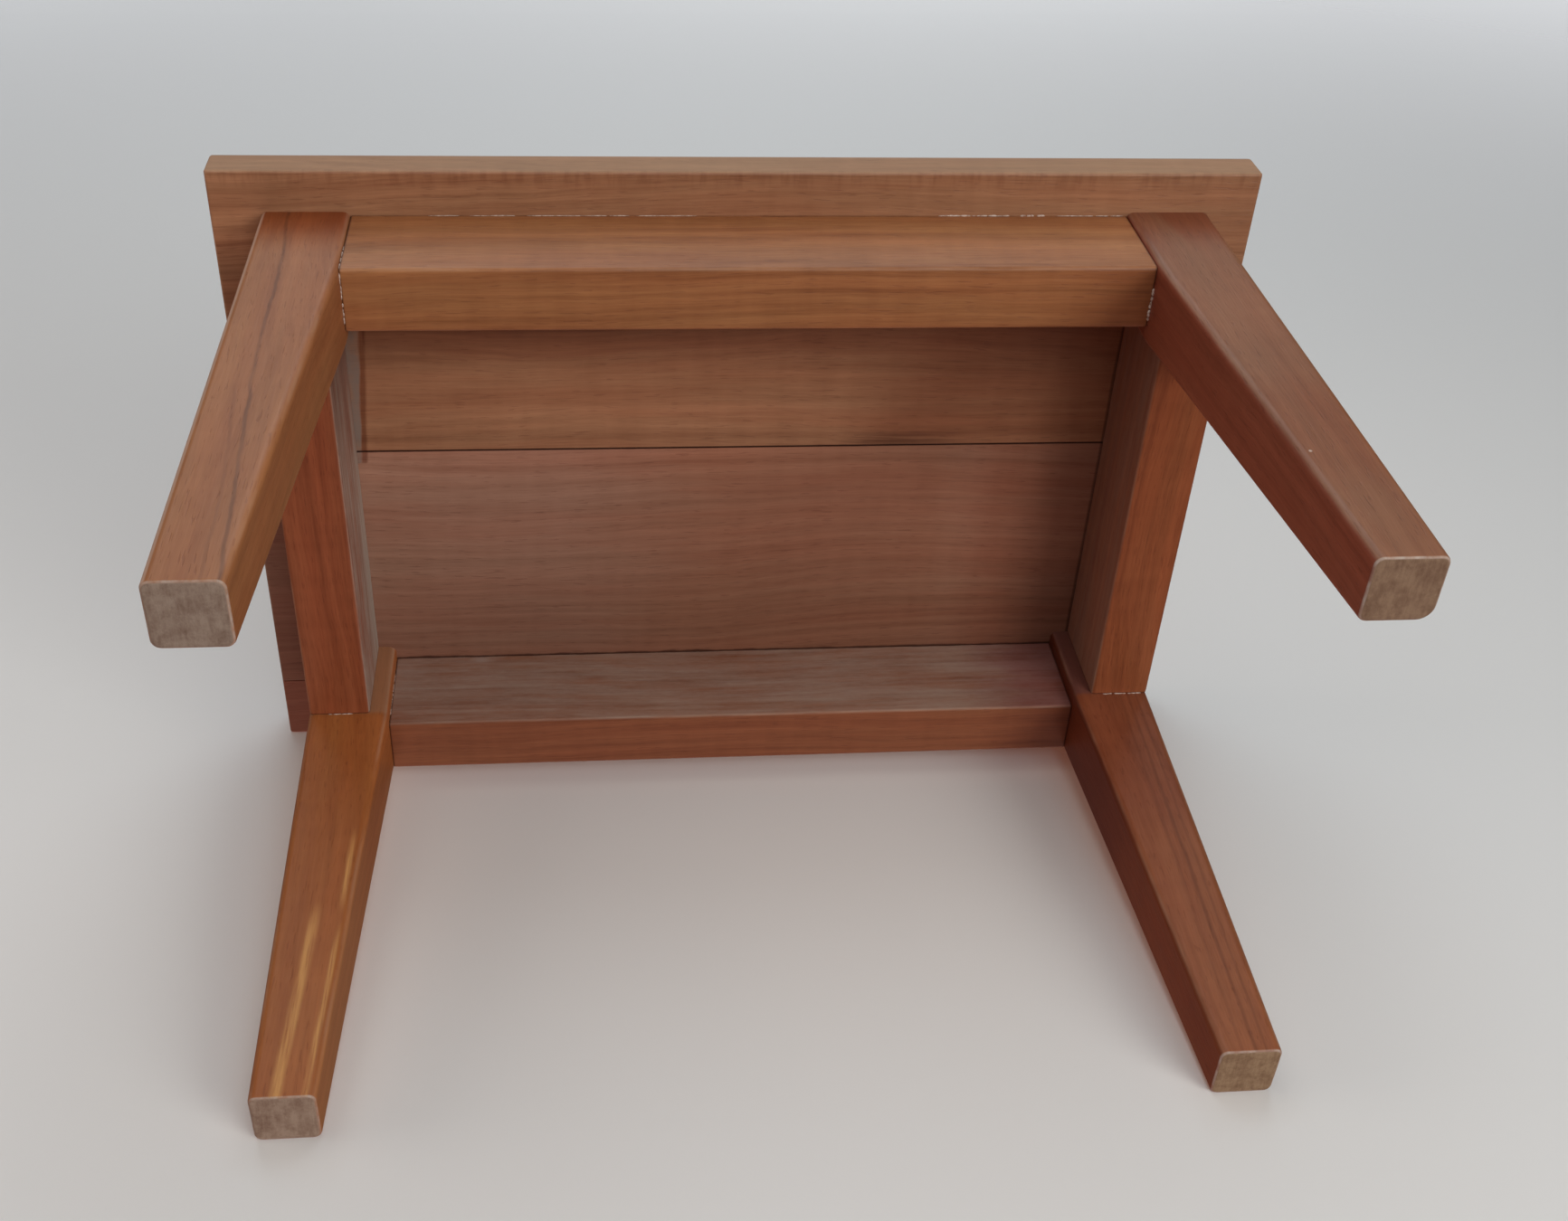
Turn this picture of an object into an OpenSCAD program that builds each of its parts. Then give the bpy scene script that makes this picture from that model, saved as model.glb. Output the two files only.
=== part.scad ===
// Low wooden stool: a seat of three edge-glued boards on four tapered legs, with a rail between each
// two legs, all joined by hidden dowels. It stands on Z = 0, with its front towards -Y, its left
// towards -X and the Z axis through the middle of the seat. Sizes are in millimetres.

/* [Seat] */
// Length of the seat, from left to right
seat_l = 400; // [320:5:600]
// Thickness of the seat boards
seat_t = 18; // [15:0.5:28]
// Width of the front board
board_front_w = 121; // [100:1:160]
// Width of the middle board
board_middle_w = 120; // [100:1:160]
// Width of the narrow board at the back
board_back_w = 31; // [24:1:60]
// Radius of the rounding along the seat's top edges
seat_round = 4; // [1:0.5:8]
// Radius of the eased edge along the seat's underside
seat_ease = 1.2; // [0.4:0.2:3]

/* [Legs] */
// Length of a leg, from the floor to the underside of the seat
leg_l = 232; // [180:2:450]
// Side of the square leg at the rails
leg_top = 33; // [30:0.5:45]
// Side of the square leg at the floor
leg_foot = 23; // [16:0.5:30]
// Radius along the edges of a leg
leg_round = 3; // [1:0.5:5]
// Bevel round the end of a leg at the floor
foot_bevel = 1.2; // [0.4:0.2:3]

/* [Rails] */
// Height of the rails under the seat
rail_h = 45; // [38:1:70]
// Thickness of the rails
rail_t = 25; // [18:0.5:28]
// Radius along the lower edges of the rails
rail_round = 1.5; // [0.5:0.5:4]
// Overhang of the seat past the legs at its left and right ends
end_overhang = 18.5; // [5:0.5:40]
// Overhang of the seat past the legs at the front and back
side_overhang = 16; // [5:0.5:30]
// Distance of the front and back rails behind the legs' outer faces
long_setback = 1.5; // [0:0.5:4]
// Distance of the end rails behind the legs' outer faces
end_setback = 0.5; // [0:0.5:4]

/* [Dowels] */
// Diameter of the dowels
dowel_d = 8; // [6:1:10]
// Radial clearance of a dowel in its hole, taken up by glue
dowel_fit = 0.05; // [0.02:0.01:0.1]
// Length of free hole left past each end of a dowel, for the glue
dowel_room = 0.5; // [0.2:0.1:2]
// Depth of a dowel in the end of a rail
dowel_in_rail = 20; // [12:1:30]
// Depth of a seat dowel in a leg or in the top of a rail
dowel_in_frame = 12; // [8:1:16]
// Depth of a seat dowel in the seat
dowel_in_seat = 11; // [8:0.5:12]
// Wood left between two dowel holes that pass each other in a leg
dowel_wall = 1.5; // [1:0.5:4]
// Distance of a rail's lower dowels above its lower edge
dowel_edge = 9; // [7:0.5:14]
// Distance of a leg's seat dowel from the leg's two inner faces
leg_dowel_inset = 11; // [8:0.5:16]
// Distance between the two seat dowels of an end rail
rail_dowel_gap = 80; // [50:2:100]

/* [Hidden] */
$fn = 64;
sides = [["left", -1], ["right", 1]];
fronts = [["front", -1], ["back", 1]];

// Outline of the seat and of the frame of legs and rails under it
seat_w = board_front_w + board_middle_w + board_back_w;
seat_z = leg_l;
frame_l = seat_l - 2 * end_overhang;
frame_w = seat_w - 2 * side_overhang;
rail_z = leg_l - rail_h;
long_rail_l = frame_l - 2 * leg_top;
end_rail_l = frame_w - 2 * leg_top;
long_rail_y = frame_w / 2 - long_setback - rail_t / 2;
end_rail_x = frame_l / 2 - end_setback - rail_t / 2;

// Seams between the boards, from front to back
seam_1_y = board_front_w - seat_w / 2;
seam_2_y = seam_1_y + board_middle_w;

// The holes of the two rails that meet in a leg stop short of each other
hole_r = dowel_d / 2 + dowel_fit;
hole_in_leg = leg_top - rail_t / 2 - max(long_setback, end_setback) - hole_r - dowel_wall;
dowel_in_leg = hole_in_leg - dowel_room;

// Heights of the upper and lower rail dowels. The upper ones pass under the leg's seat dowel.
dowel_levels = [
    ["upper", leg_l - dowel_in_frame - dowel_room - dowel_wall - hole_r],
    ["lower", rail_z + dowel_edge]
];

// Places of the seat dowels in the legs and in the end rails
leg_dowel_x = frame_l / 2 - leg_top + leg_dowel_inset;
leg_dowel_y = frame_w / 2 - leg_top + leg_dowel_inset;

// Every dowel joint as its name, the middle of the face that it crosses, the turn that points it
// into its second piece, and its depths in the first piece and in the second
long_joints = [
    for (front = fronts, side = sides, level = dowel_levels)
    [
        str("dowel_", front[0], "_", side[0], "_long_", level[0]),
        [side[1] * long_rail_l / 2, front[1] * long_rail_y, level[1]],
        [0, -90 * side[1], 0], dowel_in_leg, dowel_in_rail
    ]
];
end_joints = [
    for (front = fronts, side = sides, level = dowel_levels)
    [
        str("dowel_", front[0], "_", side[0], "_end_", level[0]),
        [side[1] * end_rail_x, front[1] * end_rail_l / 2, level[1]],
        [90 * front[1], 0, 0], dowel_in_leg, dowel_in_rail
    ]
];
leg_seat_joints = [
    for (front = fronts, side = sides)
    [
        str("seat_dowel_leg_", front[0], "_", side[0]),
        [side[1] * leg_dowel_x, front[1] * leg_dowel_y, seat_z],
        [0, 0, 0], dowel_in_frame, dowel_in_seat
    ]
];
rail_seat_joints = [
    for (front = fronts, side = sides)
    [
        str("seat_dowel_rail_", front[0], "_", side[0]),
        [side[1] * end_rail_x, front[1] * rail_dowel_gap / 2, seat_z],
        [0, 0, 0], dowel_in_frame, dowel_in_seat
    ]
];
joints = concat(long_joints, end_joints, leg_seat_joints, rail_seat_joints);

// Rounded corner of radius r at the origin, as the waste that is cut away outside it
module corner_waste(r) {
    difference() {
        translate([-1, -1])
            square(r + 1);
        translate([r, r])
            circle(r);
    }
}

// Cross-section of a board: w wide and h high on the X axis, with rounded top and bottom corners
module board_section(w, h, top_r, bottom_r) {
    difference() {
        translate([-w / 2, 0])
            square([w, h]);
        for (flip = [0, 1])
            mirror([flip, 0]) {
                translate([-w / 2, 0])
                    corner_waste(bottom_r);
                if (top_r > 0)
                    translate([-w / 2, h])
                        mirror([0, 1])
                            corner_waste(top_r);
            }
    }
}

// A bar of that cross-section, standing on the XY plane and centred on the X axis, l long along X
module bar_along_x(l, w, h, top_r, bottom_r) {
    rotate([90, 0, 90])
        translate([0, 0, -l / 2])
            linear_extrude(l)
                board_section(w, h, top_r, bottom_r);
}

// The same bar turned to lie along Y
module bar_along_y(l, w, h, top_r, bottom_r) {
    rotate([0, 0, 90])
        bar_along_x(l, w, h, top_r, bottom_r);
}

// A cylinder in every dowel joint, longer than the dowel at both ends by room
module joint_pin(joint, r, room) {
    translate(joint[1])
        rotate(joint[2])
            translate([0, 0, -joint[3] - room])
                cylinder(r = r, h = joint[3] + joint[4] + 2 * room);
}

// Cuts the dowel holes out of whatever piece they pass through
module drilled() {
    difference() {
        children();
        for (joint = joints)
            joint_pin(joint, hole_r, dowel_room);
    }
}

// The whole seat panel, rounded on all four sides, between two distances from its middle line
module seat_board(y_from, y_to) {
    drilled()
        translate([0, 0, seat_z])
            intersection() {
                bar_along_x(seat_l, seat_w, seat_t, seat_round, seat_ease);
                bar_along_y(seat_w, seat_l, seat_t, seat_round, seat_ease);
                translate([-seat_l / 2, y_from, 0])
                    cube([seat_l, y_to - y_from, seat_t]);
            }
}

module seat_board_front() {
    color("#a87446")
        seat_board(-seat_w / 2, seam_1_y);
}

module seat_board_middle() {
    color("#c08a66")
        seat_board(seam_1_y, seam_2_y);
}

module seat_board_back() {
    color("#b07a54")
        seat_board(seam_2_y, seat_w / 2);
}

// Thin slice through a leg at height z, s wide, whose outer corner stands in by inset
module leg_slice(z, s, inset) {
    r = leg_round;
    translate([inset, inset, z])
        linear_extrude(0.01)
            for (x = [r, s - 2 * inset - r], y = [r, s - 2 * inset - r])
                translate([x, y])
                    circle(r, $fn = 32);
}

// A leg with its outer corner on the Z axis and its body towards +X and +Y
module leg_body() {
    foot_s = leg_foot + (leg_top - leg_foot) * foot_bevel / rail_z;
    hull() {
        leg_slice(0, leg_foot, foot_bevel);
        leg_slice(foot_bevel, foot_s, 0);
        leg_slice(rail_z, leg_top, 0);
        leg_slice(leg_l - 0.01, leg_top, 0);
    }
}

module leg(front, side) {
    color("#9c5f3e")
        drilled()
            translate([side * frame_l / 2, front * frame_w / 2, 0])
                mirror([side > 0 ? 1 : 0, 0, 0])
                    mirror([0, front > 0 ? 1 : 0, 0])
                        leg_body();
}

// Front and back rails, between the legs along the seat's length
module long_rail(front) {
    color("#a3643f")
        drilled()
            translate([0, front * long_rail_y, rail_z])
                bar_along_x(long_rail_l, rail_t, rail_h, 0, rail_round);
}

// Left and right rails, between the legs across the seat
module end_rail(side) {
    color("#8f5a3c")
        drilled()
            translate([side * end_rail_x, 0, rail_z])
                bar_along_y(end_rail_l, rail_t, rail_h, 0, rail_round);
}

// The dowel of one joint
module dowel(joint) {
    color("#d8b98a")
        joint_pin(joint, dowel_d / 2, 0);
}

seat_board_front();
seat_board_middle();
seat_board_back();
for (front = fronts, side = sides)
    leg(front[1], side[1]);
for (front = fronts)
    long_rail(front[1]);
for (side = sides)
    end_rail(side[1]);
for (joint = joints)
    dowel(joint);
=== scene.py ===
"""Low wooden stool in oiled fruitwood, with seamed boards, tapered legs and dried glue in the joints.

The stool stands on z = 0 with its front towards -Y and its left towards -X. Lengths are in metres.
"""
from math import radians
from random import Random

import bmesh
import bpy
from mathutils import Matrix, Vector


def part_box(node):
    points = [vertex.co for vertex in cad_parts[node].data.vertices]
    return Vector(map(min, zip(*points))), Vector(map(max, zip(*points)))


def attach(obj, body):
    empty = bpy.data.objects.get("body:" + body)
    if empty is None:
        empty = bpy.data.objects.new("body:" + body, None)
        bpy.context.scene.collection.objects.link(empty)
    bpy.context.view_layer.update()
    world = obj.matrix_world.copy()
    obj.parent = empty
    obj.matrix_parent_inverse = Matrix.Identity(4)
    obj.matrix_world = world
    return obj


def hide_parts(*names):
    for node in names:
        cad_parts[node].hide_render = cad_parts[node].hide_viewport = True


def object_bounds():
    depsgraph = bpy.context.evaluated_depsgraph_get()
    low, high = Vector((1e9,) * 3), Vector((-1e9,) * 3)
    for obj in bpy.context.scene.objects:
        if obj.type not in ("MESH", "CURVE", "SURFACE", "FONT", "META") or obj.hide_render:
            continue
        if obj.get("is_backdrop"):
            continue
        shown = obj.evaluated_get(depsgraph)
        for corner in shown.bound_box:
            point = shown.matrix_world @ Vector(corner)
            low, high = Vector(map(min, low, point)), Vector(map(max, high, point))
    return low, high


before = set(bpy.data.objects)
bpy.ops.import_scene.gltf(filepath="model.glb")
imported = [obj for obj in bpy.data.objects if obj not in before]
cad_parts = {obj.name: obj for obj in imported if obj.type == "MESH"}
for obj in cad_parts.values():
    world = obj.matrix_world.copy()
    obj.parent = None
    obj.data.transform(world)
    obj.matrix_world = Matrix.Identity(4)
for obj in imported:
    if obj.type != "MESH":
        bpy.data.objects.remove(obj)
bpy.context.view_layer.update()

MM = 0.001
X, Y, Z = Vector((1, 0, 0)), Vector((0, 1, 0)), Vector((0, 0, 1))
FRONT, LEFT, RIGHT, DOWN = -Y, -X, X, -Z

# Distances below which two places are the same, from the finest to the coarsest test
TOUCH = 1e-6
NEAR = 1e-5
SLACK = 1e-4

# Camera: below the feet and in front, looking up at the underside
CAMERA_AT = Vector((-63.0, -395.1, -378.2)) * MM
CAMERA_TURN = (143.534, 5.082, -2.339)
CAMERA_LENS = 39.61
CAMERA_SHIFT = (0.0193, -0.0184)

# Roundings and grooves of the pieces
SEAT_ROUND = 4.0 * MM
SEAT_CORNER = 0.9 * MM
SEAT_EASE = 1.2 * MM
SEAM_HALF = 0.22 * MM
SEAM_DEEP = 1.6 * MM
LEG_ROUND = 3.0 * MM
LEG_ROUND_WIDE = 5.2 * MM
FOOT_SIDE = 23.0 * MM
FOOT_BEVEL = 1.2 * MM
RAIL_ROUND = 1.5 * MM
RAIL_EASE = 0.4 * MM
END_EASE = 0.25 * MM
MITRE_STEP = 0.2 * MM
STATION = 8.0 * MM
SHARP = radians(50)

# Planes that the joints lie on, from the frame
RAIL_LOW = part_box("rail_front")[0].z
SEAT_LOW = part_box("seat_board_front")[0].z
RAIL_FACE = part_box("rail_front")[0].y
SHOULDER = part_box("rail_front")[1].x
LEG_BACK_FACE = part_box("leg_back_left")[0].y
BACK_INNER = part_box("rail_back")[0].y
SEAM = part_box("seat_board_middle")[0].y
END_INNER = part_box("rail_left")[1].x

# Smear on the boards beside the left rail: its edge and end at the seam, and how far it widens to the front
SMEAR_EDGE = END_INNER + 1.4 * MM
SMEAR_END = SEAM + 5.5 * MM
SMEAR_LEAN = 0.07


def colour(code):
    """Linear colour of a six-digit screen colour."""
    channels = [int(code[i:i + 2], 16) / 255 for i in (0, 2, 4)]
    return [c / 12.92 if c <= 0.04045 else ((c + 0.055) / 1.055) ** 2.4 for c in channels] + [1.0]


def shaded(base, *factors):
    """A linear colour made lighter or darker, channel by channel."""
    return [min(1.0, c * f) for c, f in zip(base, factors)] + [1.0]


WHITE = [1.0, 1.0, 1.0]


# Shader building

class Value:
    """A number socket of a finish, for ordinary arithmetic."""

    def __init__(self, finish, socket):
        self.finish = finish
        self.socket = socket

    def maths(self, operation, *values):
        return self.finish.node("ShaderNodeMath", {"operation": operation}, dict(enumerate(values)))

    def __add__(self, other):
        return self.maths("ADD", self, other)

    def __sub__(self, other):
        return self.maths("SUBTRACT", self, other)

    def __rsub__(self, other):
        return self.maths("SUBTRACT", other, self)

    def __mul__(self, other):
        return self.maths("MULTIPLY", self, other)

    def __pow__(self, power):
        return self.maths("POWER", self, power)

    __radd__ = __add__
    __rmul__ = __mul__

    def size(self):
        return self.maths("ABSOLUTE", self)

    def most(self, other):
        return self.maths("MAXIMUM", self, other)

    def step(self, low, high):
        """Rises smoothly from 0 at low to 1 at high."""
        settings = {"interpolation_type": "SMOOTHSTEP"}
        inputs = {"Value": self, "From Min": low, "From Max": high}
        return self.finish.node("ShaderNodeMapRange", settings, inputs)

    def within(self, low, high, soft):
        """1 between low and high, fading out over soft on both sides."""
        return self.step(low - soft, low + soft) * (1 - self.step(high - soft, high + soft))


class Finish:
    """A material whose nodes are added one call at a time."""

    def __init__(self, name):
        self.material = bpy.data.materials.new(name)
        self.material.use_nodes = True
        self.tree = self.material.node_tree
        self.shader = self.tree.nodes["Principled BSDF"]

    def node(self, kind, settings=None, inputs=None, output=0):
        made = self.tree.nodes.new(kind)
        for key, value in (settings or {}).items():
            setattr(made, key, value)
        for key, value in (inputs or {}).items():
            self.plug(made.inputs[key], value)
        socket = made.outputs[output]
        return Value(self, socket) if socket.type == "VALUE" else socket

    def plug(self, socket, value):
        if isinstance(value, Value):
            value = value.socket
        if isinstance(value, bpy.types.NodeSocket):
            self.tree.links.new(value, socket)
        else:
            socket.default_value = value

    def blend(self, amount, first, second, mode="MIX"):
        """Colour between first and second."""
        settings = {"data_type": "RGBA", "blend_type": mode, "clamp_factor": True}
        return self.node("ShaderNodeMix", settings, {0: amount, 6: first, 7: second}, 2)

    def parts(self, vector):
        """The three numbers of a vector."""
        first = self.node("ShaderNodeSeparateXYZ", inputs={0: vector})
        return [Value(self, socket) for socket in first.socket.node.outputs]

    def joined(self, x, y, z):
        return self.node("ShaderNodeCombineXYZ", inputs={0: x, 1: y, 2: z})

    def moved(self, place, offset):
        return self.node("ShaderNodeVectorMath", {"operation": "ADD"}, {0: place, 1: offset})

    def grains(self, place, scales, detail=2.0, roughness=0.5):
        """Noise from 0 to 1 with the given number of grains to the metre along each axis."""
        stretched = self.node("ShaderNodeVectorMath", {"operation": "MULTIPLY"}, {0: place, 1: scales})
        inputs = {"Vector": stretched, "Scale": 1.0, "Detail": detail, "Roughness": roughness}
        return self.node("ShaderNodeTexNoise", {"noise_dimensions": "3D"}, inputs)

    def bands(self, value, detail=2.0, roughness=0.5):
        """Noise from 0 to 1 along one number."""
        inputs = {"W": value, "Scale": 1.0, "Detail": detail, "Roughness": roughness}
        return self.node("ShaderNodeTexNoise", {"noise_dimensions": "1D"}, inputs)

    def facing(self, direction, low=0.6, high=0.9):
        """1 where the surface faces the direction."""
        normal = self.node("ShaderNodeNewGeometry", output="Normal")
        settings = {"operation": "DOT_PRODUCT"}
        along = self.node("ShaderNodeVectorMath", settings, {0: normal, 1: direction}, "Value")
        return along.step(low, high)


class Coat:
    """The colour, roughness and relief of a piece while its features are laid on."""

    def __init__(self, finish, at, own, shade, rough, height):
        self.finish = finish
        self.at = at
        self.own = own
        self.shade = shade
        self.rough = rough
        self.height = height

    def tint(self, mask, code):
        self.shade = self.finish.blend(mask, self.shade, colour(code))

    def stain(self, mask, code):
        """Multiplies the wood's own colour, so its grain shows through."""
        self.shade = self.finish.blend(mask, self.shade, colour(code), "MULTIPLY")

    def brighten(self, mask, gain):
        self.shade = self.finish.blend(mask, self.shade, [gain, gain, gain, 1.0], "MULTIPLY")

    def grains(self, scales, detail=2.0, roughness=0.5):
        return self.finish.grains(self.own, scales, detail, roughness)

    def ragged(self, width):
        """Raggedness of a line along a joint, half the width to either side."""
        return (self.grains((90.0, 20.0, 20.0), 3.0) - 0.5) * width


GRAIN_TURNS = {"x": (0, 0, 0), "y": (0, 0, radians(90)), "z": (0, radians(-90), 0)}
GRAIN_AXES = {"x": X, "y": Y, "z": Z}

# Wood against its own colour, in red, green and blue
PALE_WOOD = (1.46, 1.56, 1.62)
DEEP_WOOD = (0.64, 0.54, 0.48)
RED_WOOD = (1.0, 0.84, 0.80)
LATE_WOOD = (0.66, 0.56, 0.54)
PORE_WOOD = (0.6, 0.5, 0.5)
SAWN_WOOD = (0.60, 0.47, 0.45)

OIL_IOR = 1.45
RELIEF = 0.2 * MM


def plank_place(finish, spot, along, node, seed):
    """Place in the plank from its middle, with the grain along the first axis, moved on by the seed."""
    low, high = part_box(node)
    place = finish.node("ShaderNodeMapping", {"vector_type": "TEXTURE"},
                        {"Vector": spot, "Location": (low + high) / 2, "Rotation": GRAIN_TURNS[along]})
    return finish.moved(place, (seed * 1.37, 0, 0))


def swaying(finish, place):
    """Length, width and thickness in the plank, bent so that every line in the grain sways alike."""
    length, across, through = finish.parts(place)
    sway = finish.grains(place, (4.0, 7.0, 7.0), 1.0) - 0.5
    ripple = finish.grains(place, (17.0, 30.0, 30.0), 2.0) - 0.5
    return length, across + sway * 0.022 + ripple * 0.0035, through + sway * 0.010 + ripple * 0.0015


def growth_rings(finish, own, across, through, rings, seed):
    """Uneven soft bands, and the finer and darker late edges that they have in places."""
    out_a = across - rings[0]
    out_b = through - rings[1]
    radius = (out_a * out_a + out_b * out_b) ** 0.5
    soft = finish.bands(radius * 230.0 + seed, 3.0, 0.6) - 0.5
    edge = finish.bands(radius * 480.0 + seed * 3.1, 2.0, 0.7)
    patchy = finish.grains(own, (9.0, 55.0, 55.0), 2.0).step(0.34, 0.64)
    return soft, edge.step(0.48, 0.72) * patchy


def wood(name, along, node, seed, body, rings=(0.02, 0.05), contrast=1.0, late_depth=0.3, features=()):
    """Oiled fruitwood from one plank. Its grain runs along x, y or z, and rings is the tree's middle from
    the plank's own middle, across the grain."""
    finish = Finish(name)
    spot = finish.node("ShaderNodeTexCoord", output="Object")
    length, across, through = swaying(finish, plank_place(finish, spot, along, node, seed))
    own = finish.joined(length, across + seed * 0.73, through + seed * 0.41)
    soft, late = growth_rings(finish, own, across, through, rings, seed)

    # Streaks, fibres, short pores, and a faint ripple of light across the grain
    broad = finish.grains(own, (2.6, 38.0, 38.0), 2.0, 0.55) - 0.5
    narrow = finish.grains(own, (10.0, 300.0, 300.0), 3.0, 0.6) - 0.5
    fibre = finish.grains(own, (60.0, 1500.0, 1500.0), 2.0, 0.6) - 0.5
    pore = finish.grains(own, (150.0, 1700.0, 1700.0), 0.0).step(0.68, 0.76)
    curl = finish.grains(own, (130.0, 30.0, 30.0), 2.0) - 0.5
    hue = finish.grains(own, (6.0, 60.0, 60.0), 4.0, 0.65).step(0.32, 0.68)

    # Sawn ends drink more oil
    axis = GRAIN_AXES[along]
    end = finish.facing(axis, 0.72, 0.98) + finish.facing(-axis, 0.72, 0.98)
    fleck = finish.grains(own, (300.0, 700.0, 700.0), 2.0)

    tone = (soft * 0.50 + broad * 0.50 + narrow * 0.60 + fibre * 0.40 + curl * 0.25) * contrast + 0.5
    base = colour(body)
    shade = finish.blend(tone, shaded(base, *PALE_WOOD), shaded(base, *DEEP_WOOD))
    for mask, factors in ((hue * 0.7, RED_WOOD), (late * late_depth, LATE_WOOD), (pore * 0.4, PORE_WOOD),
                          (end * (fleck * 0.5 + 0.15), SAWN_WOOD)):
        shade = finish.blend(mask, shade, shaded(WHITE, *factors), "MULTIPLY")

    rough = 0.44 + broad * 0.15 + end * 0.18 + fibre * 0.12
    height = fibre * 0.8 - pore * 0.8 + narrow * 0.5 - late * 0.2
    coat = Coat(finish, finish.parts(spot), own, shade, rough, height)
    for feature in features:
        feature(coat)
    bump = finish.node("ShaderNodeBump", inputs={"Strength": 0.30, "Distance": RELIEF, "Height": coat.height})
    finish.plug(finish.shader.inputs["Base Color"], coat.shade)
    finish.plug(finish.shader.inputs["Roughness"], coat.rough)
    finish.plug(finish.shader.inputs["Normal"], bump)
    finish.shader.inputs["IOR"].default_value = OIL_IOR
    return finish.material


# Features of single pieces

# Colour of dark ragged lines along joints; by the rails' tops and the right rail it is grime with painted
# shade. Then the span of a dark line of grime and painted shade, just short of a shoulder or the seat.
JOINT_DARK = "5c3c34"
GRIME_AND_SHADE_LINE = (-0.9 * MM, -0.1 * MM)

# How far up a board's edge a mark on its underside reaches: not at all, or a little
FLAT_UNDER = (0.4 * MM, 0.8 * MM)
WIDE_UNDER = (1 * MM, 3 * MM)

# How squarely a surface faces the front where the marks on a leg's front fade in
LEG_FRONT = (0.4, 0.8)

# Lines down the front left leg: start, drift, the heights that it drifts between, end, width and depth
FRONT_LEFT_LINES = ((-0.1597, 0.0083, -0.03, 0.15, 0.30, 1.0 * MM, 0.44),
                    (-0.1655, 0.0087, 0.02, 0.15, 0.12, 0.9 * MM, 0.20))

# Sapwood streaks in the back left leg: start, lean, width, lowest and highest place
SAPWOOD_STREAKS = ((-0.1720, 0.064, 1.9 * MM, -0.02, 0.078), (-0.1622, 0.064, 1.1 * MM, -0.02, 0.068),
                   (-0.1600, 0.030, 1.2 * MM, 0.087, 0.115))

# Lines down the back right leg: start, lean, width and depth
BACK_RIGHT_LINES = ((0.1712, 0.005, 0.9 * MM, 0.27), (0.1752, 0.003, 0.7 * MM, 0.20),
                    (0.1662, 0.012, 0.8 * MM, 0.15))

# Place of the nick in the front right leg, along X and Z
NICK = (0.1596, 0.057)


def underside(z, reach):
    """1 on a board's underside, fading out up its edges."""
    return 1 - z.step(SEAT_LOW + reach[0], SEAT_LOW + reach[1])


def between(value, half):
    """1 between two facing joints, which lie at half from the stool's middle."""
    return 1 - value.size().step(half, half + 1 * MM)


def worn_edges(coat):
    """Paler, rubbed wood on the rounded edges, where the surface faces no side squarely."""
    finish = coat.finish
    x, y, z = (part.size() for part in finish.parts(finish.node("ShaderNodeNewGeometry", output="Normal")))
    edge = 1 - x.most(y).most(z).step(0.74, 0.96)
    patch = coat.grains((22.0, 60.0, 60.0), 3.0, 0.65).step(0.36, 0.66)
    coat.tint(edge * patch * 0.25, "c2a088")
    coat.rough = coat.rough + edge * 0.12


def dusty(direction, amount, code, patches=0.4, brushing=0.7):
    """Dry wood with pale dust on the faces that look in one direction, brushed along the grain."""
    def lay(coat):
        side = coat.finish.facing(direction)
        film = coat.grains((10.0, 60.0, 60.0), 4.0, 0.65).step(0.30, 0.70) - 0.5
        brushed = coat.grains((14.0, 420.0, 420.0), 3.0, 0.6) - 0.5
        speck = coat.grains((240.0, 700.0, 700.0), 2.0, 0.7) - 0.5
        coat.tint(side * (film * patches + brushed * brushing + speck * 0.5 + 0.7) * amount, code)
        coat.rough = coat.rough + side * 0.25
    return lay


def painted_shade_front_end(coat):
    """Painted shade at the front end of the left rail's inner face, by the front rail."""
    side = coat.finish.facing(RIGHT)
    wander = (coat.grains((30.0, 60.0, 60.0), 2.0) - 0.5) * 0.03
    coat.stain(side * (1 - (coat.at[1] + wander).step(-0.085, -0.005)) * 0.9, "b8a49c")


def grime_and_shade_ends(axis, half):
    """Dark glue and grime, with painted shade of the joint, in the last fraction of a millimetre before a
    shoulder.
    """
    def lay(coat):
        coat.stain((coat.at[axis].size() - half).step(*GRIME_AND_SHADE_LINE) * 0.8, "6a4438")
    return lay


def grime_and_shade_top(coat):
    """Dark ragged line along the top of a rail, under the seat: grime with painted shade in the joint."""
    line = (coat.at[2] + coat.ragged(1.6 * MM)).step(*(SEAT_LOW + edge for edge in GRIME_AND_SHADE_LINE))
    coat.stain(line * 0.7, JOINT_DARK)


def seam_dirt(coat):
    """Dark line along the seam between the front and middle boards."""
    near = (coat.at[1] - SEAM).size()
    coat.stain((1 - near.step(0.25 * MM, 0.65 * MM)) * 0.9, "4a2c22")


def back_dirt(coat):
    """Dark ragged line on the underside of the middle board, where the back rail meets it."""
    x, y, z = coat.at
    line = (y + coat.ragged(2.0 * MM)).step(BACK_INNER - 1.2 * MM, BACK_INNER - 0.2 * MM)
    coat.stain(line * between(x, SHOULDER) * underside(z, FLAT_UNDER) * 0.8, JOINT_DARK)


def right_dirt_and_shade(coat):
    """Dark ragged line on the underside of the boards, where the right rail meets them: grime with painted
    shade in the joint.
    """
    x, y, z = coat.at
    line = (x + coat.ragged(2.0 * MM)).within(-END_INNER - 1 * MM, 4 * MM - END_INNER, 0.5 * MM)
    coat.stain(line * between(y, BACK_INNER) * underside(z, FLAT_UNDER) * 0.6, JOINT_DARK)


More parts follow.
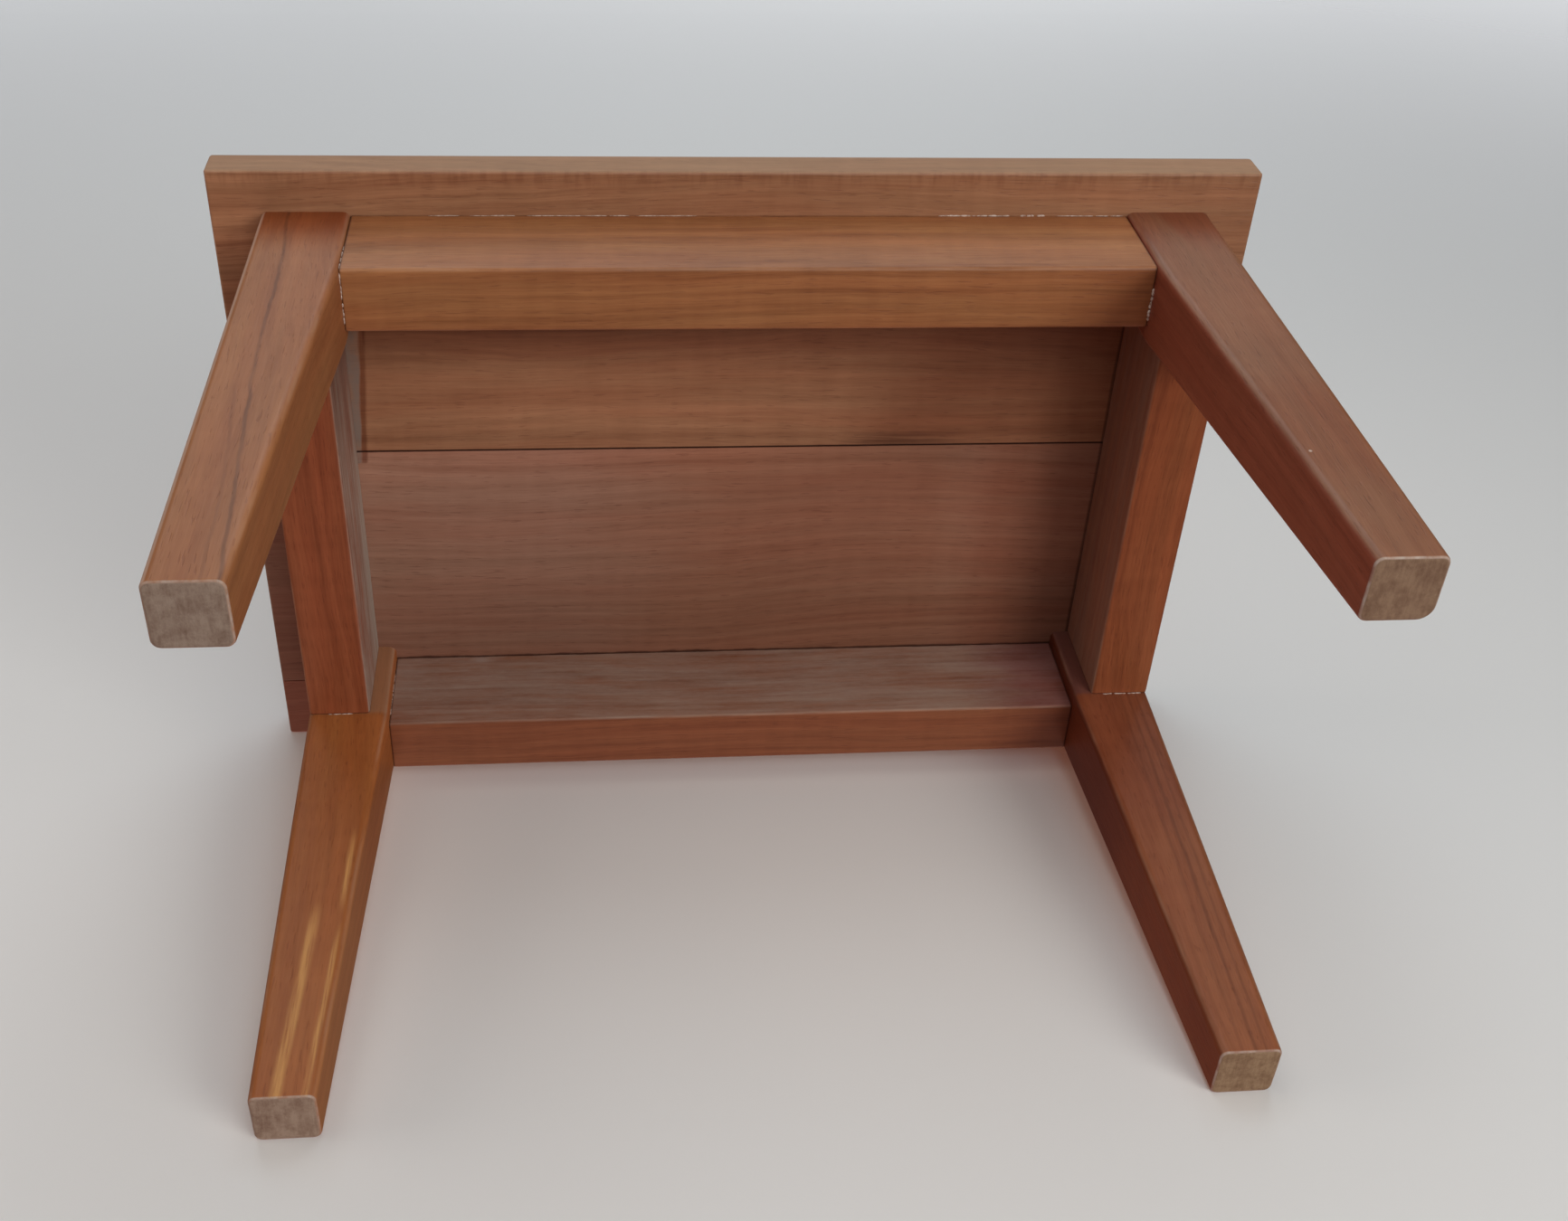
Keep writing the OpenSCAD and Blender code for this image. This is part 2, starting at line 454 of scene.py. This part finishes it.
def front_board_figure(coat):
    """A pale tongue in the middle of the underside, redder wood to its right and dark streaks at the seam,
    with a painted shadow behind the front rail, painted light at the left end and a front edge paler with
    painted light.
    """
    x, y, z = coat.at
    under = underside(z, WIDE_UNDER)
    wander = (coat.grains((14.0, 45.0, 45.0), 3.0) - 0.5) * 0.05
    right = (x + wander + (y + 0.045) * 0.3).step(0.040, 0.085) * y.within(-0.085, SEAM, 0.012)
    coat.stain(right * under * 0.50, "c89c8c")
    pale = y.within(-0.062, -0.022, 0.014) * (x + wander).within(-0.105, 0.055, 0.02)
    coat.brighten(pale * under * 0.8, 1.10)
    dark = y.within(-0.0205, SEAM, 0.003) * (x + wander * 0.6).within(0.048, 0.092, 0.020)
    strand = coat.grains((12.0, 600.0, 600.0), 2.0, 0.6).step(0.34, 0.66)
    coat.stain(dark * strand * under * 0.7, "6c4a40")
    # Painted shadow of the front rail on the underside just behind it, weaker towards the right.
    shade = (1 - (y + wander * 0.05).step(-0.072, -0.045)) * between(x, SHOULDER)
    depth = 0.55 - x.step(0.02, 0.07) * 0.25
    coat.stain(shade * y.step(-0.119, -0.118) * (1 - right * 0.9) * under * depth, "a07468")
    # Painted light: the underside's left end is made brighter, most in a band just behind the front edge.
    coat.brighten((1 - x.step(-0.190, -0.176)) * under * (0.3 + y.within(-0.118, -0.100, 0.006) * 0.7), 1.4)
    arris = 1 - (y + wander * 0.06).step(-0.1335, -0.127)
    bars = coat.grains((300.0, 60.0, 60.0), 2.0, 0.6).step(0.42, 0.68)
    coat.stain(arris * bars * under * 0.22, "9a6450")
    # Painted light: the front edge face is tinted paler, and made rougher.
    edge = coat.finish.facing(FRONT)
    coat.tint(edge * 0.3, "bbaa91")
    coat.rough = coat.rough + edge * 0.35


def middle_board_figure(coat):
    """Browner wood towards the back rail, warmer in the middle, darker at the right with painted shade by the
    right rail, paler at the seam.
    """
    x, y, z = coat.at
    under = underside(z, WIDE_UNDER)
    coat.stain(y.step(0.045, 0.088) * 0.5, "c0a8a0")
    wander = (coat.grains((10.0, 30.0, 30.0), 2.0) - 0.5) * 0.08
    coat.stain((x + wander).within(-0.045, 0.105, 0.035), "fbece0")
    # Painted shade: darker and more orange towards the right rail.
    coat.stain((x + wander * 0.2).step(0.090, 0.120) * under, "f3ded4")
    coat.brighten((1 - y.step(-0.012, 0.014)) * (1 - (x + wander).step(0.02, 0.10)) * under, 1.28)


def smeared_corner(coat):
    """Dusty smear of glue on the boards by the front half of the left rail, with a brown line beside it."""
    x, y, z = coat.at
    under = underside(z, FLAT_UNDER)
    ragged = (coat.grains((500.0, 90.0, 90.0), 3.0, 0.65) - 0.5) * 1.4 * MM
    reach = x - SMEAR_EDGE + (y - SMEAR_END) * SMEAR_LEAN + ragged
    past_rail = x.step(END_INNER - 1 * MM, END_INNER - 0.5 * MM)
    run = (y + ragged).within(-BACK_INNER, SMEAR_END, 0.5 * MM) * past_rail
    coat.stain(under * run * reach.within(0, 2.4 * MM, 0.7 * MM) * 0.7, "a87e6c")
    cloud = coat.grains((120.0, 60.0, 60.0), 3.0, 0.65).step(0.25, 0.60)
    coat.tint(under * run * (1 - reach.step(-0.5 * MM, 0.5 * MM)) * (cloud * 0.6 + 0.3), "80736c")


def front_left_leg_figure(coat):
    """Two thin grey-brown lines that wander down the front, a redder head and a pale outer edge."""
    x, _, z = coat.at
    front = coat.finish.facing(FRONT, *LEG_FRONT)
    wander = (coat.grains((55.0, 4.0, 4.0), 2.0, 0.5) - 0.5) * 0.0026 + z.step(0.180, SEAT_LOW) * 0.0030
    patch = coat.grains((30.0, 9.0, 9.0), 2.0).step(0.30, 0.55) * 0.5 + 0.5
    for start, drift, low, high, end, width, depth in FRONT_LEFT_LINES:
        off = (x + wander - start + z.step(low, high) * drift).size()
        line = front * (1 - z.step(end - 0.04, end))
        coat.stain(line * patch * (1 - off.step(width * 0.2, width)) * depth, "6f5450")
        coat.stain(line * (1 - off.step(width, width * 3.5)) * 0.12, "b08a80")
    coat.stain(front * z.step(0.194, 0.226) * 0.7, "d08c54")
    coat.tint(coat.finish.facing((-0.75, -0.66, 0), 0.86, 0.97) * 0.55, "cdb4a6")


def front_right_leg_figure(coat):
    """A darker head, a soft paler stripe beside the inner edge, a redder inner face darkened with painted
    shade, and a small nick.
    """
    x, y, z = coat.at
    head = z.step(0.188, 0.222) * (1 - (x + (z - 0.2) * 0.2).within(0.155, 0.166, 0.002) * 0.6)
    coat.stain(head * 0.65, "d48442")
    coat.brighten((x - 0.1535 - (0.190 - z).most(0) * 0.045).within(-0.001, 0.0035, 0.0015) * 0.5, 1.16)
    # Painted shade: the inner face is darker and redder.
    coat.stain(coat.finish.facing(LEFT), "f6c0c0")
    front = coat.finish.facing(FRONT, *LEG_FRONT)
    coat.stain(front * z.within(0.040, 0.100, 0.015), "f9eae0")
    coat.brighten(front * z.within(0.130, 0.175, 0.015), 1.12)
    off = ((x - NICK[0]) ** 2 + (z - NICK[1]) ** 2) ** 0.5
    coat.tint((1 - off.step(0.3 * MM, 0.8 * MM)) * (1 - y.step(-0.119, -0.115)) * 0.7, "d8c8bc")


def back_left_leg_figure(coat):
    """Yellow sapwood in narrow streaks down the front of the foot, and painted light on the inner face,
    warmer towards the foot.
    """
    x, _, z = coat.at
    front = coat.finish.facing(FRONT, *LEG_FRONT)
    wander = (coat.grains((35.0, 5.0, 5.0), 3.0) - 0.5) * 0.0016
    ragged = coat.grains((28.0, 700.0, 700.0), 3.0, 0.65).step(0.30, 0.62)
    for start, lean, width, low, high in SAPWOOD_STREAKS:
        off = (x + wander - start - z * lean).size()
        run = z.within(low, high, 10 * MM)
        coat.tint(front * run * (1 - off.step(width * 0.3, width * 1.5)) * (ragged * 0.65 + 0.15), "d09c5c")
    coat.tint(front * z.step(RAIL_LOW - 1 * MM, RAIL_LOW + 2 * MM) * 0.4, "a2866e")
    # Painted light: the inner face is brightened and warmed towards the foot.
    inner = coat.finish.facing(RIGHT)
    coat.brighten(inner, 1.2)
    coat.tint(inner * (1 - z.step(0.06, 0.15)) * 0.25, "c0926a")


def back_right_leg_figure(coat):
    """Long dark lines down the outer half of the front, and a redder inner face darkened with painted shade,
    most towards the head under the seat.
    """
    x, _, z = coat.at
    front = coat.finish.facing(FRONT, *LEG_FRONT)
    wander = (coat.grains((30.0, 4.0, 4.0), 2.0) - 0.5) * 0.0016
    patch = coat.grains((25.0, 9.0, 9.0), 2.0).step(0.25, 0.55) * 0.6 + 0.4
    for start, lean, width, depth in BACK_RIGHT_LINES:
        off = (x + wander - start - z * lean).size()
        coat.stain(front * patch * (1 - off.step(width * 0.2, width * 1.2)) * depth, "6f4c48")
    coat.stain(front * z.step(0.09, 0.13) * 0.8, "f3e4e8")
    coat.tint(front * z.step(RAIL_LOW - 1 * MM, RAIL_LOW + 2 * MM) * 0.5, "564249")
    inner = coat.finish.facing(LEFT)
    # Painted shade: the inner face darker and redder, more so towards the head.
    coat.stain(inner, "daad79")
    coat.stain(inner * z.step(0.06, 0.15), "cbbfe0")


def sanded_foot(code):
    """Grey-beige sanded end grain under a foot, with a paler bevel round it."""
    def lay(coat):
        down = coat.finish.facing(DOWN, 0.80, 0.97)
        bevel = coat.finish.facing(DOWN, 0.25, 0.6) * (1 - down)
        fleck = coat.grains((900.0, 900.0, 900.0), 3.0, 0.7) - 0.5
        stain = coat.grains((100.0, 190.0, 190.0), 3.0, 0.6).step(0.35, 0.7)
        ring = coat.grains((5.0, 160.0, 900.0), 3.0, 0.6) - 0.5
        deepness = stain * 0.5 + fleck * 0.8 + ring * 1.1 + 0.1
        ground = coat.finish.blend(deepness, colour("b19d8c"), colour("816758"))
        coat.shade = coat.finish.blend(down * 0.95, coat.shade, ground)
        # The stain differs per foot, partly as painted light for the light that each foot gets.
        coat.stain(down, code)
        coat.tint(bevel * (stain * 0.6 + 0.20), "bcb0a8")
        coat.rough = coat.rough + down * 0.3
        coat.height = coat.height + fleck * down
    return lay


def back_inner_patches(coat):
    """On the inner face of the back rail, a whiter patch at the top left and a darker right end, a painted
    shadow in the corner by the leg.
    """
    x, _, z = coat.at
    side = coat.finish.facing(FRONT)
    cloud = coat.grains((30.0, 120.0, 120.0), 3.0, 0.65).step(0.35, 0.60)
    coat.tint(side * x.within(-0.150, -0.105, 0.008) * z.step(0.212, 0.226) * cloud * 0.5, "b3a49c")
    # Painted shadow in the right corner of the back rail's inner face.
    coat.stain(side * (x + cloud * 0.01).step(0.105, 0.145), "ddb8c2")


def painted_shade_right_end(depth):
    """Painted shade from the leg, darker and redder, under the right end of a long rail."""
    def lay(coat):
        under = coat.finish.facing(DOWN, 0.5, 0.9)
        wander = (coat.grains((30.0, 60.0, 60.0), 2.0) - 0.5) * 0.02
        coat.stain(under * (coat.at[0] + wander).step(0.105, 0.150) * depth, "9a5a48")
    return lay


# Mesh building

def block(low, high):
    """A bmesh box between two corners."""
    bm = bmesh.new()
    bmesh.ops.create_cube(bm, size=1.0)
    bmesh.ops.scale(bm, vec=high - low, verts=bm.verts)
    bmesh.ops.translate(bm, vec=(low + high) / 2, verts=bm.verts)
    return bm


def ease(bm, radius, segments, test):
    """Rounds every edge whose two ends pass the test."""
    edges = [edge for edge in bm.edges if test(*(vert.co for vert in edge.verts))]
    bmesh.ops.bevel(bm, geom=edges, offset=radius, offset_type="OFFSET", affect="EDGES", segments=segments,
                    profile=0.5, material=-1, clamp_overlap=False)


def at(value, index):
    """Test that both ends of an edge lie at one value of a coordinate."""
    return lambda a, b: abs(a[index] - value) < NEAR and abs(b[index] - value) < NEAR


def both(*tests):
    return lambda a, b: all(test(a, b) for test in tests)


def cut(bm, point, normal):
    everything = bm.verts[:] + bm.edges[:] + bm.faces[:]
    bmesh.ops.bisect_plane(bm, geom=everything, plane_co=point, plane_no=normal, dist=TOUCH)


def stations(bm, index, low, high):
    """Cuts a piece into short lengths along its grain."""
    normal = (X, Y, Z)[index]
    count = round((high - low) / STATION)
    for k in range(1, count):
        cut(bm, normal * (low + (high - low) * k / count), normal)


def in_order(bm):
    """Orders the faces by their corners, because the operators leave them in another order each run."""
    def corners(face):
        return sorted(vert.index for vert in face.verts)
    bm.verts.index_update()
    for rank, face in enumerate(sorted(bm.faces, key=corners)):
        face.index = rank
    bm.faces.sort()


def finished(bm, name, material, node):
    """Turns a bmesh into a piece, which stands for a node if one is named."""
    bmesh.ops.recalc_face_normals(bm, faces=bm.faces)
    for edge in bm.edges:
        edge.smooth = edge.calc_face_angle() < SHARP
    for face in bm.faces:
        face.smooth = True
    in_order(bm)
    mesh = bpy.data.meshes.new(name)
    bm.to_mesh(mesh)
    bm.free()
    mesh.materials.append(material)
    piece = bpy.data.objects.new(name, mesh)
    bpy.context.scene.collection.objects.link(piece)
    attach(piece, "root")
    if node:
        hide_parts(node)
        piece.modifiers.new("flat_sides", "WEIGHTED_NORMAL").keep_sharp = True


def groove(bm, value, inward, low, high):
    """Leans the last bit of a board's seam side inwards, so that a fine dark groove shows along the seam."""
    for height, edge in ((low + SEAM_DEEP, low), (high - SEAM_DEEP, high)):
        cut(bm, Z * height, Z)
        for vert in bm.verts:
            if abs(vert.co.y - value) < TOUCH and abs(vert.co.z - edge) < TOUCH:
                vert.co.y += inward * SEAM_HALF


def mitred(low, high, side):
    """Test that an edge is part of a mitred corner, up the board's side and over its rounding."""
    def on_mitre(end):
        return abs(abs(end.y - side) - min(end.x - low.x, high.x - end.x)) < NEAR
    return lambda a, b: abs(a.z - b.z) > MITRE_STEP and on_mitre(a) and on_mitre(b)


def clear_of(seams):
    """Test that an edge runs along none of the seams."""
    return lambda a, b: not any(at(seam, 1)(a, b) for seam in seams)


def board(name, node, material, outer_front, outer_back):
    """A seat board with rounded outer edges and a fine groove along each seam."""
    low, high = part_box(node)
    bm = block(low, high)
    seams = [low.y] * (not outer_front) + [high.y] * (not outer_back)
    for height, radius, segments in ((high.z, SEAT_ROUND, 6), (low.z, SEAT_EASE, 3)):
        ease(bm, radius, segments, both(at(height, 2), clear_of(seams)))
    for side in sorted({low.y, high.y} - set(seams)):
        ease(bm, SEAT_CORNER, 3, mitred(low, high, side))
    for vert in bm.verts:
        vert.co = [min(max(part, least), most) for part, least, most in zip(vert.co, low, high)]
    for seam in seams:
        groove(bm, seam, 1 if seam == low.y else -1, low.z, high.z)
    stations(bm, 0, low.x, high.x)
    finished(bm, name, material, node)


def leg(name, node, material, wide_corner):
    """A leg whose two inner faces taper from the underside of the rails to the foot. A corner says whether
    it is on the outer side along X and along Y, and the inner corners are rounded first."""
    low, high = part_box(node)
    outer = Vector((low.x if low.x < 0 else high.x, low.y if low.y < 0 else high.y, 0))
    inner = Vector([part + (FOOT_SIDE if part < 0 else -FOOT_SIDE) for part in outer.xy] + [0])
    bm = block(low, high)
    cut(bm, Z * RAIL_LOW, Z)
    for vert in bm.verts:
        if vert.co.z < TOUCH:
            for index in (0, 1):
                if abs(vert.co[index] - outer[index]) > NEAR:
                    vert.co[index] = inner[index]

    def corner(x_outer, y_outer):
        def beside(end):
            return (abs(end.x - outer.x) < NEAR) == x_outer and (abs(end.y - outer.y) < NEAR) == y_outer
        return lambda a, b: abs(a.z - b.z) > SLACK and beside(a) and beside(b)

    for place in ((False, False), (False, True), (True, False), (True, True)):
        ease(bm, LEG_ROUND, 6, corner(*place))
    if wide_corner:
        x_side, y_side = (outer if is_outer else inner for is_outer in wide_corner)
        tip = Vector((x_side.x, y_side.y, 0))
        for vert in bm.verts:
            if (vert.co - tip).length < LEG_ROUND + SLACK:
                vert.co = tip + (vert.co - tip) * (LEG_ROUND_WIDE / LEG_ROUND)
    ease(bm, FOOT_BEVEL, 3, at(low.z, 2))
    stations(bm, 2, low.z, high.z)
    finished(bm, name, material, node)


def rail(name, node, material, index):
    """A rail with rounded lower edges and barely broken upper edges and ends."""
    low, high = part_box(node)
    across = 1 - index
    bm = block(low, high)
    for side in (low[across], high[across]):
        ease(bm, RAIL_ROUND, 4, both(at(side, across), at(low.z, 2)))
        ease(bm, RAIL_EASE, 1, both(at(side, across), at(high.z, 2)))
    for end in (low[index], high[index]):
        ease(bm, END_EASE, 1, at(end, index))
    stations(bm, index, low[index] + 2 * END_EASE, high[index] - 2 * END_EASE)
    finished(bm, name, material, node)


# Pieces

def make_seat():
    front = wood("front_board_wood", "x", "seat_board_front", 1, "996e51", (0.030, 0.040), 1.15, 0.50,
                 (front_board_figure, smeared_corner, seam_dirt, right_dirt_and_shade, worn_edges))
    middle = wood("middle_board_wood", "x", "seat_board_middle", 2, "95705e", (0.15, 0.09), 0.85, 0.22,
                  (middle_board_figure, smeared_corner, seam_dirt, back_dirt, right_dirt_and_shade, worn_edges))
    back = wood("back_board_wood", "x", "seat_board_back", 3, "8f5c4a", (0.10, 0.05), 1.0, 0.3, (worn_edges,))
    board("front_board", "seat_board_front", front, True, False)
    board("middle_board", "seat_board_middle", middle, False, False)
    board("back_board", "seat_board_back", back, False, True)


# Each leg's colour, foot stain, figure and the corner that was rounded more than the others. The foot stains
# are set foot by foot, partly as painted light that makes up for the different light each foot gets.
LEGS = {
    "front_left": ("98643e", "e9ecf0", front_left_leg_figure, None),
    "front_right": ("875d44", "d1c3b5", front_right_leg_figure, (True, False)),
    "back_left": ("985c30", "ffffff", back_left_leg_figure, None),
    "back_right": ("895235", "eae0ca", back_right_leg_figure, None),
}


def make_legs():
    for seed, (corner, (body, foot, figure, wide_corner)) in enumerate(LEGS.items()):
        node = "leg_" + corner
        rings = (0.05, 0.03 + 0.01 * seed)
        features = (figure, worn_edges, sanded_foot(foot))
        material = wood(corner + "_leg_wood", "z", node, 11 + seed, body, rings, 0.85, 0.20, features)
        leg(corner + "_leg", node, material, wide_corner)


def make_rails():
    front = wood("front_rail_wood", "x", "rail_front", 21, "9c6a43", (0.050, -0.02), 1.2, 0.40,
                 (painted_shade_right_end(0.4), grime_and_shade_ends(0, SHOULDER), grime_and_shade_top, worn_edges))
    back = wood("back_rail_wood", "x", "rail_back", 22, "814e33", (0.06, 0.04), 1.3, 0.40,
                (dusty(FRONT, 0.75, "a18c80", 0.6, 1.2), back_inner_patches, painted_shade_right_end(0.65),
                 grime_and_shade_ends(0, SHOULDER), grime_and_shade_top, worn_edges))
    left = wood("left_rail_wood", "y", "rail_left", 23, "945234", (0.06, 0.05), 1.3, 0.35,
                (dusty(RIGHT, 0.90, "b1a49a", 0.8, 1.6), painted_shade_front_end, grime_and_shade_ends(1, LEG_BACK_FACE),
                 worn_edges))
    right = wood("right_rail_wood", "y", "rail_right", 24, "8f5131", (-0.05, 0.06), 1.3, 0.35,
                 (dusty(LEFT, 0.45, "9a877c"), grime_and_shade_ends(1, LEG_BACK_FACE), grime_and_shade_top, worn_edges))
    for side, material, index, kind in (("front", front, 0, "long"), ("back", back, 0, "long"),
                                        ("left", left, 1, "end"), ("right", right, 1, "end")):
        rail(side + "_rail", "rail_" + side, material, index)


def finish_dowels():
    """The hidden dowels keep their shape and take a bare beech finish."""
    for name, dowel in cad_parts.items():
        if "dowel_" in name:
            axis = max(range(3), key=lambda i: dowel.dimensions[i])
            material = wood(name + "_beech", "xyz"[axis], name, 30, "c8a676", (0.03, 0.05), 0.5)
            dowel.data.materials.clear()
            dowel.data.materials.append(material)


def dried_glue():
    """Off-white glue, browner where it is thin."""
    finish = Finish("dried_glue")
    spot = finish.node("ShaderNodeTexCoord", output="Object")
    cloud = finish.grains(spot, (700.0, 700.0, 700.0), 3.0, 0.6)
    shade = finish.blend(cloud.step(0.35, 0.65), colour("d2c4bc"), colour("987a6c"))
    finish.plug(finish.shader.inputs["Base Color"], shade)
    finish.plug(finish.shader.inputs["Roughness"], 0.35 + cloud * 0.3)
    return finish.material


# Corners of the joints that glue was squeezed out of. None marks the direction that the corner runs in.
GLUE_CORNERS = {
    "front_rail_top": ((None, RAIL_FACE, SEAT_LOW), "long_rail_wood"),
    "front_left_face": ((-SHOULDER, RAIL_FACE, None), "leg_wood"),
    "front_left_under": ((-SHOULDER, None, RAIL_LOW), "leg_wood"),
    "front_right_under": ((SHOULDER, None, RAIL_LOW), "leg_wood"),
    "back_leg_heads": ((None, LEG_BACK_FACE, RAIL_LOW), "leg_wood"),
    "back_rail_left": ((-SHOULDER, BACK_INNER, None), "long_rail_wood"),
}

# Runs of glue: name, corner, where it starts and ends along the corner, beads and half thickness
GLUE_RUNS = (
    ("glue_front_rail_right", "front_rail_top", 74 * MM, 102 * MM, 13, 0.42 * MM),
    ("glue_front_rail_blob", "front_rail_top", 107 * MM, 116 * MM, 5, 0.55 * MM),
    ("glue_front_rail_end", "front_rail_top", 120 * MM, 147 * MM, 7, 0.25 * MM),
    ("glue_front_rail_left", "front_rail_top", -118 * MM, -20 * MM, 9, 0.22 * MM),
    ("glue_front_left_face", "front_left_face", 188 * MM, 206 * MM, 8, 0.22 * MM),
    ("glue_front_left_under", "front_left_under", -117 * MM, -97 * MM, 9, 0.42 * MM),
    ("glue_front_right_under", "front_right_under", -110 * MM, -96 * MM, 8, 0.8 * MM),
    ("glue_back_left_head", "back_leg_heads", -173 * MM, -163.5 * MM, 5, 0.34 * MM),
    ("glue_back_right_head", "back_leg_heads", 162 * MM, 178.5 * MM, 8, 0.42 * MM),
    ("glue_back_rail_left", "back_rail_left", 193 * MM, 221 * MM, 9, 0.26 * MM),
)


def make_glue():
    """Squeezed-out glue: flat uneven beads along a joint, half sunk in the corner."""
    material = dried_glue()
    for seed, (name, corner, first, last, count, thick) in enumerate(GLUE_RUNS):
        draw = Random(seed)
        place, slot = GLUE_CORNERS[corner]
        start = Vector([first if part is None else part for part in place])
        end = Vector([last if part is None else part for part in place])
        run = end - start
        turn = run.to_track_quat("X", "Z").to_matrix().to_4x4()
        bm = bmesh.new()
        for k in range(count):
            centre = start + run * ((k + draw.uniform(0.2, 0.8)) / count)
            half = run.length / count * draw.uniform(0.35, 0.75)
            size = Vector((half, thick * draw.uniform(0.5, 1.1), thick * draw.uniform(0.5, 1.1)))
            shape = Matrix.Translation(centre) @ turn @ Matrix.Diagonal(size).to_4x4()
            bmesh.ops.create_icosphere(bm, subdivisions=2, radius=1.0, matrix=shape)
        finished(bm, name, material, None)


# Studio

FLOOR_SIZE = 12.0
FLOOR_PAPER = "e4e7ea"
FLOOR_GAP = 0.1 * MM
FLOOR_FADE = (0.7, 2.4)

# Lamps: name, place from the stool's middle, width, watts and colour
LAMPS = (
    ("window", (0.95, -0.65, -1.10), 0.9, 12.0, "fffaf0"),
    ("front_fill", (0.20, -1.10, -1.20), 0.9, 6.0, "ffffff"),
    ("left_fill", (-1.50, -0.30, 0.00), 0.9, 5.4, "fff0e2"),
    ("ceiling", (-0.30, -1.90, 0.00), 2.2, 9.0, "ffe4d0"),
    ("pale_wall", (0.00, -1.20, 1.00), 1.6, 9.0, "f0fbff"),
    ("warm_bounce", (0.00, 1.50, -0.60), 2.2, 10.0, "ffb8a0"),
    ("overhead", (0.30, 0.50, 1.90), 1.2, 18.0, "ffffff"),
    ("back_fill", (-0.60, 1.50, 0.70), 1.4, 14.0, "ffffff"),
)


def make_camera():
    data = bpy.data.cameras.new("camera")
    data.lens = CAMERA_LENS
    data.shift_x, data.shift_y = CAMERA_SHIFT
    data.clip_start = 0.01
    camera = bpy.data.objects.new("camera", data)
    camera.location = CAMERA_AT
    camera.rotation_euler = [radians(turn) for turn in CAMERA_TURN]
    bpy.context.scene.collection.objects.link(camera)
    bpy.context.scene.camera = camera


def backdrop(name, centre, facing):
    """A pale sheet that only the camera sees, and only from the side that it faces. It fades out far away."""
    bm = bmesh.new()
    bmesh.ops.create_grid(bm, x_segments=1, y_segments=1, size=FLOOR_SIZE / 2)
    turn = facing.to_track_quat("Z", "Y").to_matrix().to_4x4()
    bmesh.ops.transform(bm, matrix=Matrix.Translation(centre) @ turn, verts=bm.verts)
    mesh = bpy.data.meshes.new(name)
    bm.to_mesh(mesh)
    bm.free()
    sheet = bpy.data.objects.new(name, mesh)
    bpy.context.scene.collection.objects.link(sheet)
    finish = Finish(name + "_paper")
    finish.plug(finish.shader.inputs["Base Color"], colour(FLOOR_PAPER))
    finish.plug(finish.shader.inputs["Roughness"], 0.9)
    clear = finish.node("ShaderNodeBsdfTransparent")
    behind = finish.node("ShaderNodeNewGeometry", output="Backfacing")
    x, y, z = finish.parts(finish.node("ShaderNodeTexCoord", output="Object"))
    far = ((x * x + y * y + z * z) ** 0.5).step(*FLOOR_FADE)
    hidden = far.most(behind)
    one_sided = finish.node("ShaderNodeMixShader", inputs={0: hidden, 1: finish.shader.outputs[0], 2: clear})
    finish.plug(finish.tree.nodes["Material Output"].inputs["Surface"], one_sided)
    mesh.materials.append(finish.material)
    for ray in ("diffuse", "glossy", "transmission", "shadow"):
        setattr(sheet, "visible_" + ray, False)
    sheet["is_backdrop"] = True


def make_studio():
    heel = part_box("leg_back_left")[1]
    seat_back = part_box("seat_board_back")
    lying_foot = Vector((0, heel.y, 0))
    lying_seat = Vector((0, seat_back[1].y, seat_back[0].z))
    facing = X.cross((lying_seat - lying_foot).normalized())
    backdrop("lying_floor", lying_foot, facing if facing.y < 0 else -facing)
    backdrop("standing_floor", -FLOOR_GAP * Z, Z)
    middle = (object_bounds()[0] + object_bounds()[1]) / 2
    for name, place, width, watts, code in LAMPS:
        data = bpy.data.lights.new(name, "AREA")
        data.shape = "DISK"
        data.size = width
        data.energy = watts
        data.color = colour(code)[:3]
        lamp = bpy.data.objects.new(name, data)
        lamp.location = middle + Vector(place)
        lamp.rotation_euler = (-Vector(place)).to_track_quat("-Z", "Y").to_euler()
        lamp.visible_camera = False
        lamp.visible_glossy = name != "back_fill"
        bpy.context.scene.collection.objects.link(lamp)
    make_world()
    bpy.context.scene.view_settings.view_transform = "Standard"


def make_world():
    """Pale surroundings for the camera, with only a little light of their own."""
    world = bpy.data.worlds.new("studio")
    world.use_nodes = True
    nodes, links = world.node_tree.nodes, world.node_tree.links
    glow = nodes["Background"]
    glow.inputs["Color"].default_value = colour("e8ecf2")
    glow.inputs["Strength"].default_value = 0.05
    seen = nodes.new("ShaderNodeBackground")
    seen.inputs["Color"].default_value = colour("dfe1e4")
    path = nodes.new("ShaderNodeLightPath")
    mix = nodes.new("ShaderNodeMixShader")
    links.new(path.outputs["Is Camera Ray"], mix.inputs[0])
    links.new(glow.outputs[0], mix.inputs[1])
    links.new(seen.outputs[0], mix.inputs[2])
    links.new(mix.outputs[0], nodes["World Output"].inputs["Surface"])
    bpy.context.scene.world = world


make_camera()
make_seat()
make_legs()
make_rails()
finish_dowels()
make_glue()
make_studio()
